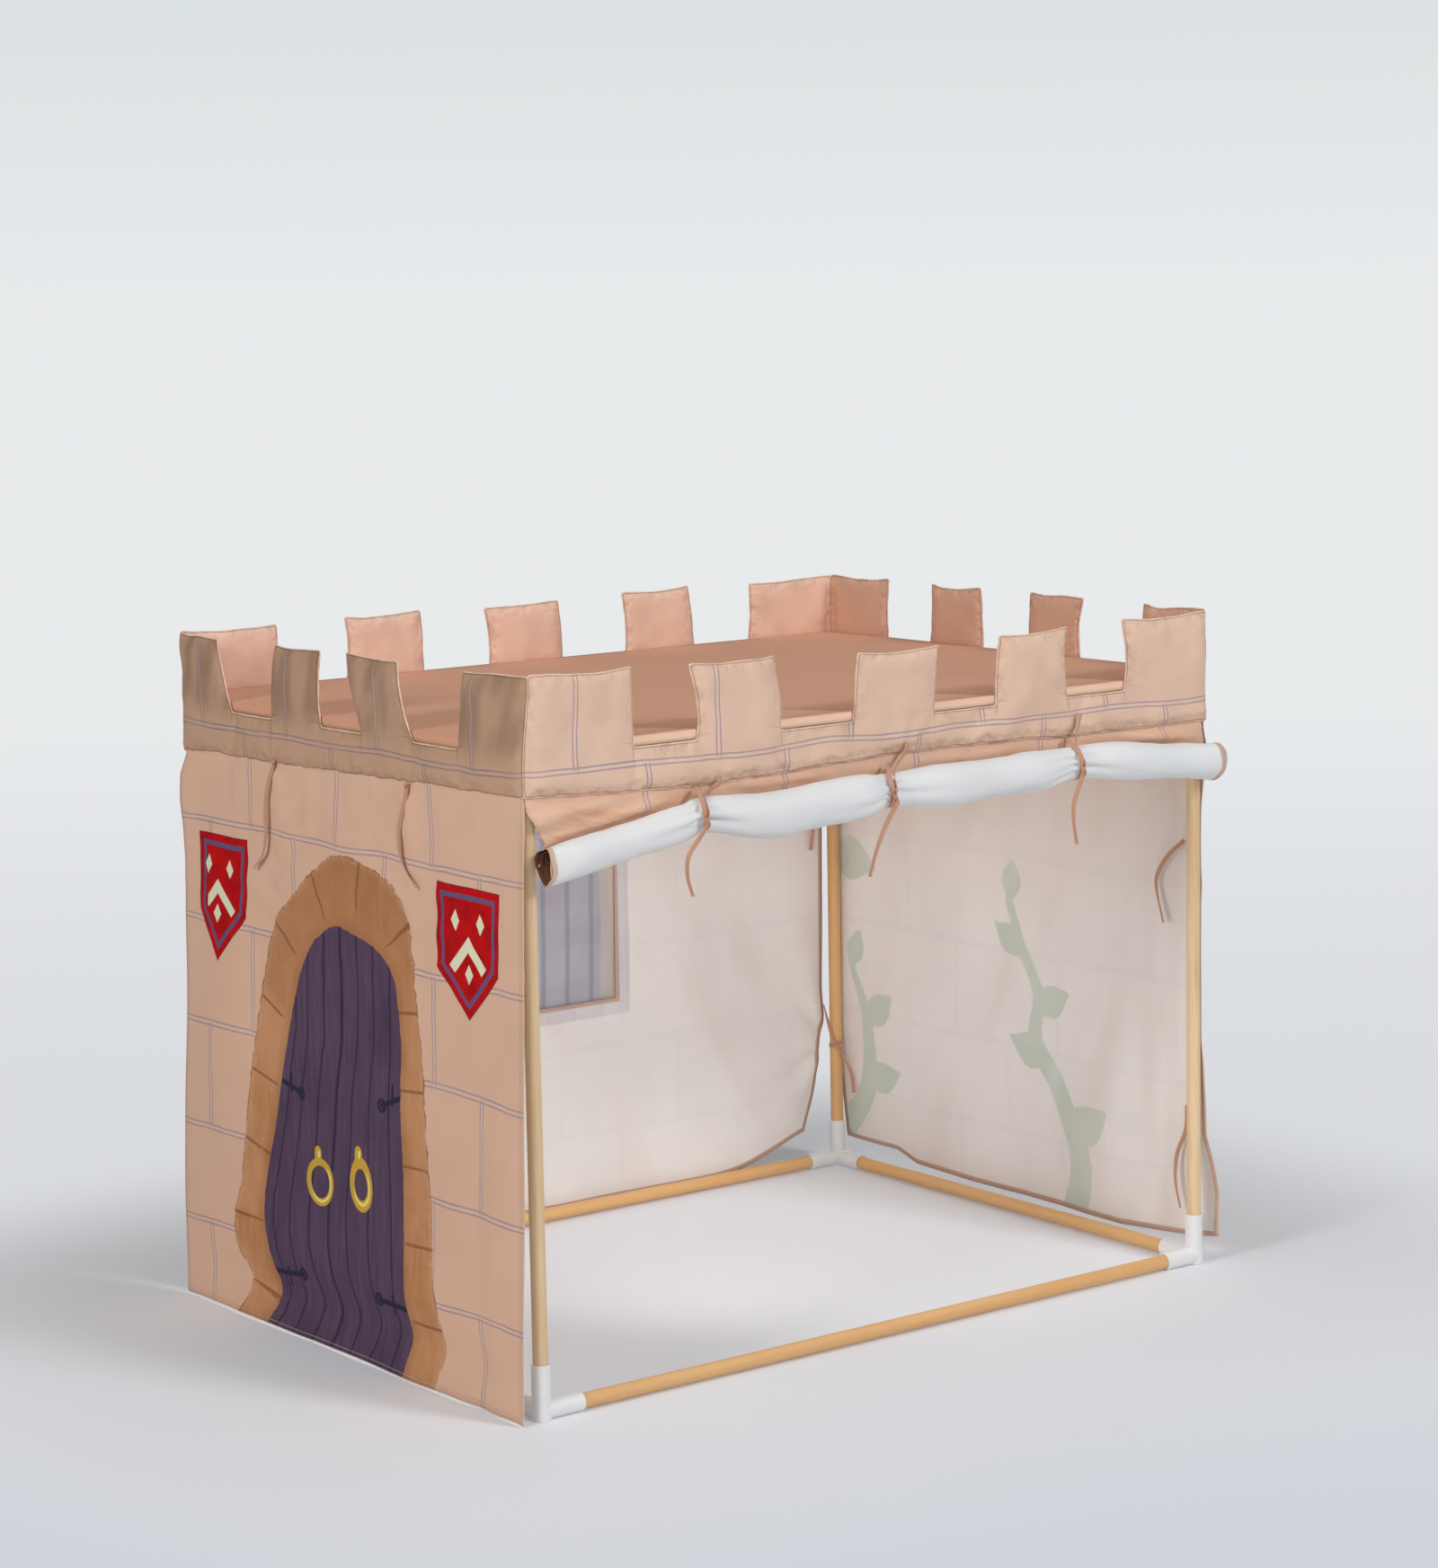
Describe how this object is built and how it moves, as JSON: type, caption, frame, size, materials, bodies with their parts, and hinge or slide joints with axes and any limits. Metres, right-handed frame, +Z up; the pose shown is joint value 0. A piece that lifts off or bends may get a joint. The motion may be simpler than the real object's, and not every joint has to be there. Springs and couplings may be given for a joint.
{
  "type": "castle play tent",
  "caption": "Child's indoor castle play tent: printed cloth cover with a crenellated padded parapet and a rolled-up front wall, on a frame of wooden dowels in corner fittings",
  "frame": {"origin": "on the floor, under the middle of the tent's outer box", "axes": "+X along the long side from the printed door wall to the far wall, +Y from the open front to the window wall, +Z up"},
  "size_m": [1.5202, 1.1298, 1.19],
  "materials": {
    "dowel_wood": "smooth pale softwood, clear lacquer",
    "fitting_plastic": "moulded white, slightly glossy",
    "roof_cloth": "matt woven cloth, peach",
    "parapet_cloth": "matt woven cloth over thin padding, printed stone courses",
    "wall_cloth": "matt woven cloth, printed stone courses, pale inside",
    "lining_cloth": "matt unprinted side of the cloth, cool white",
    "shutter_cloth": "matt woven cloth, printed planks, grey violet",
    "tie_tape": "narrow folded tape, brown peach"
  },
  "bodies": {
    "root": {"bottom_rail_back": "dowel_wood", "bottom_rail_front": "dowel_wood", "bottom_rail_left": "dowel_wood", "bottom_rail_right": "dowel_wood", "corner_tie_back": "tie_tape", "corner_tie_back_upper": "tie_tape", "corner_tie_right_lower": "tie_tape", "corner_tie_right_upper": "tie_tape", "door_tie_far": "tie_tape", "door_tie_near": "tie_tape", "door_wall": "wall_cloth", "far_wall": "wall_cloth", "fitting_bottom_back_left": "fitting_plastic", "fitting_bottom_back_right": "fitting_plastic", "fitting_bottom_front_left": "fitting_plastic", "fitting_bottom_front_right": "fitting_plastic", "fitting_top_back_left": "fitting_plastic", "fitting_top_back_right": "fitting_plastic", "fitting_top_front_left": "fitting_plastic", "fitting_top_front_right": "fitting_plastic", "front_wall": "lining_cloth", "parapet_back": "parapet_cloth", "parapet_front": "parapet_cloth", "parapet_left": "parapet_cloth", "parapet_right": "parapet_cloth", "roll_tie_left": "tie_tape", "roll_tie_middle": "tie_tape", "roll_tie_right": "tie_tape", "roof_panel": "roof_cloth", "top_rail_back": "dowel_wood", "top_rail_front": "dowel_wood", "top_rail_left": "dowel_wood", "top_rail_right": "dowel_wood", "upright_back_left": "dowel_wood", "upright_back_right": "dowel_wood", "upright_front_left": "dowel_wood", "upright_front_right": "dowel_wood", "window_shutter": "shutter_cloth", "window_wall": "wall_cloth"}
  },
  "joints": []
}
